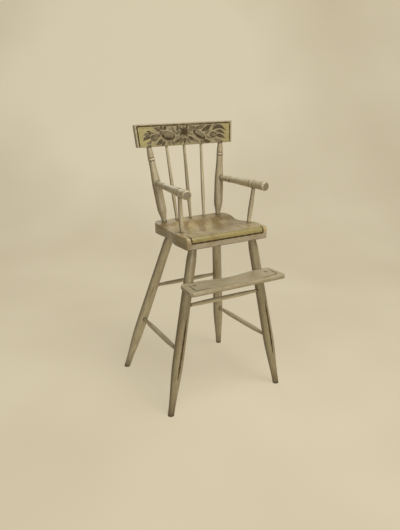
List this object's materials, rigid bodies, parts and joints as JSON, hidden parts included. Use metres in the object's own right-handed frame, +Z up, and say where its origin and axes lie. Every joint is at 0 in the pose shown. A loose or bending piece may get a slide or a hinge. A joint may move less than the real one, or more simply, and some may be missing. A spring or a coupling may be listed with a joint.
{
  "type": "high chair",
  "caption": "Child's tall painted wooden chair with a plank seat, splayed turned legs, rod back, flat crest rail, turned arms and a footrest board",
  "frame": {"origin": "on the floor, on the chair's middle plane, midway between the footrest's front edge and the rearmost point of the rear feet", "axes": "+X to the right seen from the front, +Y towards the chair's back, +Z up; the chair faces -Y, and left in a node's name is the -X side"},
  "size_m": [0.4384, 0.4664, 0.8903],
  "materials": {
    "painted_turnings": "worn drab paint over wood, satin",
    "painted_seat": "worn drab paint with an olive front band and a dark stripe",
    "painted_crest": "yellow-olive paint with a dark stencilled band and a dark border stripe",
    "painted_footrest": "worn olive-drab paint with traces of a dark stripe",
    "wooden_pins": "bare end grain, darkened",
    "iron_nails": "dark wrought iron"
  },
  "bodies": {
    "root": {"seat": "painted_seat", "front_leg_left": "painted_turnings", "front_leg_right": "painted_turnings", "rear_leg_left": "painted_turnings", "rear_leg_right": "painted_turnings", "side_stretcher_left": "painted_turnings", "side_stretcher_right": "painted_turnings", "front_stretcher": "painted_turnings", "rear_stretcher": "painted_turnings", "footrest_board": "painted_footrest", "footrest_bracket_left": "painted_turnings", "footrest_bracket_right": "painted_turnings", "footrest_nails": "iron_nails", "back_post_left": "painted_turnings", "back_post_right": "painted_turnings", "back_spindle_left": "painted_turnings", "back_spindle_middle": "painted_turnings", "back_spindle_right": "painted_turnings", "crest_rail": "painted_crest", "crest_pins": "wooden_pins", "arm_left": "painted_turnings", "arm_right": "painted_turnings", "arm_support_left": "painted_turnings", "arm_support_right": "painted_turnings"}
  },
  "joints": []
}
